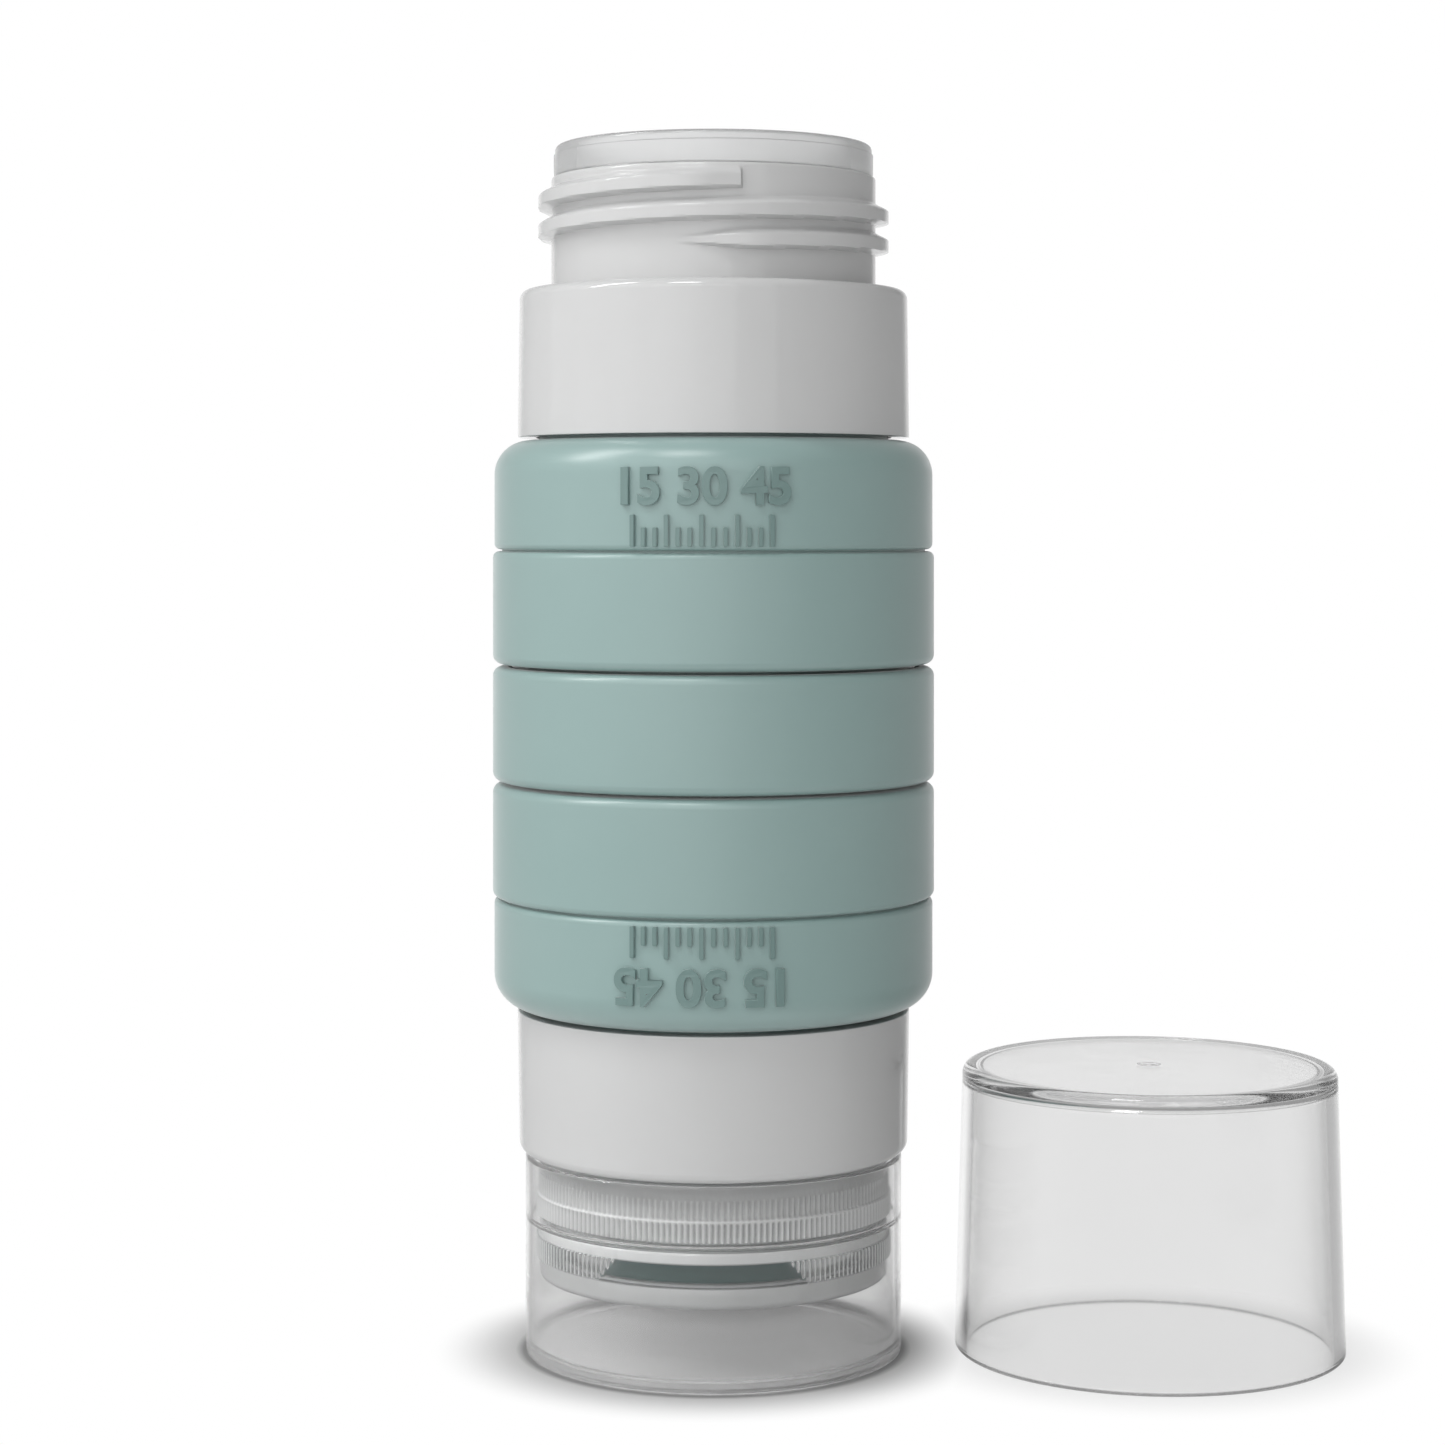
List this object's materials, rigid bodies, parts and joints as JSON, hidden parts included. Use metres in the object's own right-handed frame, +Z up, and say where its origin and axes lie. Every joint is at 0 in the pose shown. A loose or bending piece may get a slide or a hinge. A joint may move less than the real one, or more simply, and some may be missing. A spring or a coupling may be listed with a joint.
{
  "type": "travel squeeze bottle",
  "caption": "Double-ended soft travel squeeze bottle with threaded necks, a ribbed screw closure with a valve under a clear end cap, and a clear travel cap standing beside it.",
  "frame": {"origin": "on the bottle's axis, in the plane of the base that it stands on", "axes": "+Z up along the bottle's axis, -Y the front, +X towards the cap that stands beside the bottle"},
  "size_m": [0.0849, 0.044, 0.1199],
  "materials": {
    "sage_silicone": "soft satin silicone",
    "white_plastic": "smooth gloss",
    "frosted_plastic": "translucent, slightly frosted",
    "clear_plastic": "clear gloss",
    "pale_seal": "matte"
  },
  "bodies": {
    "bottle": {"upper_sleeve": "sage_silicone", "lower_sleeve": "sage_silicone", "middle_band": "sage_silicone", "coupling_hub": "white_plastic", "upper_collar": "white_plastic", "lower_collar": "white_plastic", "mouth_liner": "frosted_plastic"},
    "seal": {"sealing_washer": "pale_seal"},
    "closure": {"dispensing_cap": "clear_plastic", "valve": "sage_silicone", "valve_retainer": "frosted_plastic"},
    "base_cap": {"end_cap": "clear_plastic"},
    "cover_cap": {"travel_cap": "clear_plastic"}
  },
  "joints": [
    {"name": "closure_travel", "type": "slide", "parent": "bottle", "child": "seal", "axis": [0, 0, -1], "range_m": [0, 0.00525]},
    {"name": "closure_turn", "type": "hinge", "parent": "seal", "child": "closure", "pos_m": [0, 0, 0.0139], "axis": [0, 0, -1], "range_deg": [0, 630]},
    {"name": "end_cap_pull", "type": "slide", "parent": "closure", "child": "base_cap", "axis": [0, 0, -1], "range_m": [0, 0.025]},
    {"name": "travel_cap_lift", "type": "slide", "parent": "bottle", "child": "cover_cap", "axis": [0, 0, 1], "range_m": [0, 0.13]}
  ],
  "couplings": [
    {"joint": "closure_travel", "follows": "closure_turn", "m_per_rad": 0.00047746}
  ]
}
